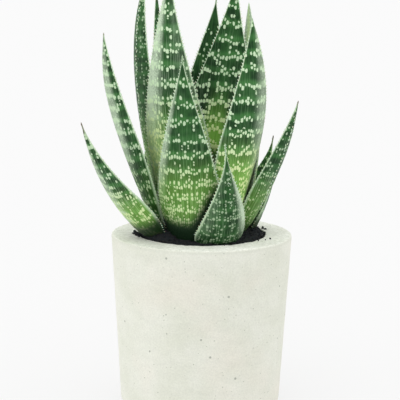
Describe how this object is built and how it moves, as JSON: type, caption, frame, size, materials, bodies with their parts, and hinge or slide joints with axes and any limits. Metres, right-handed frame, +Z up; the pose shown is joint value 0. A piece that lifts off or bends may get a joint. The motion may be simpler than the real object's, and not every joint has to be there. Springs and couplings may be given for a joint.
{
  "type": "potted aloe vera",
  "caption": "Spotted aloe vera with upright toothed leaves in a rosette, growing in a thick-walled round concrete pot of dark soil.",
  "frame": {"origin": "middle of the pot's flat underside", "axes": "+Z up through the plant, -Y to the side seen from the front, +X to its right"},
  "size_m": [0.1145, 0.1044, 0.243],
  "materials": {
    "concrete": "matt cast concrete with fine pores",
    "soil": "dark crumbly potting soil",
    "leaf": "dark waxy green with pale raised spots and white teeth",
    "stem": "pale green fibrous stem"
  },
  "bodies": {
    "root": {"pot": "concrete", "soil": "soil", "stem": "stem", "leaf_outer_left": "leaf", "leaf_middle_left": "leaf", "leaf_tall_left": "leaf", "leaf_narrow_rear_left": "leaf", "leaf_tall_front": "leaf", "leaf_front": "leaf", "leaf_front_low": "leaf", "leaf_tall_broad": "leaf", "leaf_tall_rear": "leaf", "leaf_tall_right": "leaf", "leaf_narrow_rear_right": "leaf", "leaf_outer_right": "leaf", "leaf_low_right": "leaf", "leaf_rear_right": "leaf", "leaf_low_rear": "leaf", "leaf_low_rear_left": "leaf", "leaf_heart_long": "leaf", "leaf_heart_short": "leaf"}
  },
  "joints": []
}
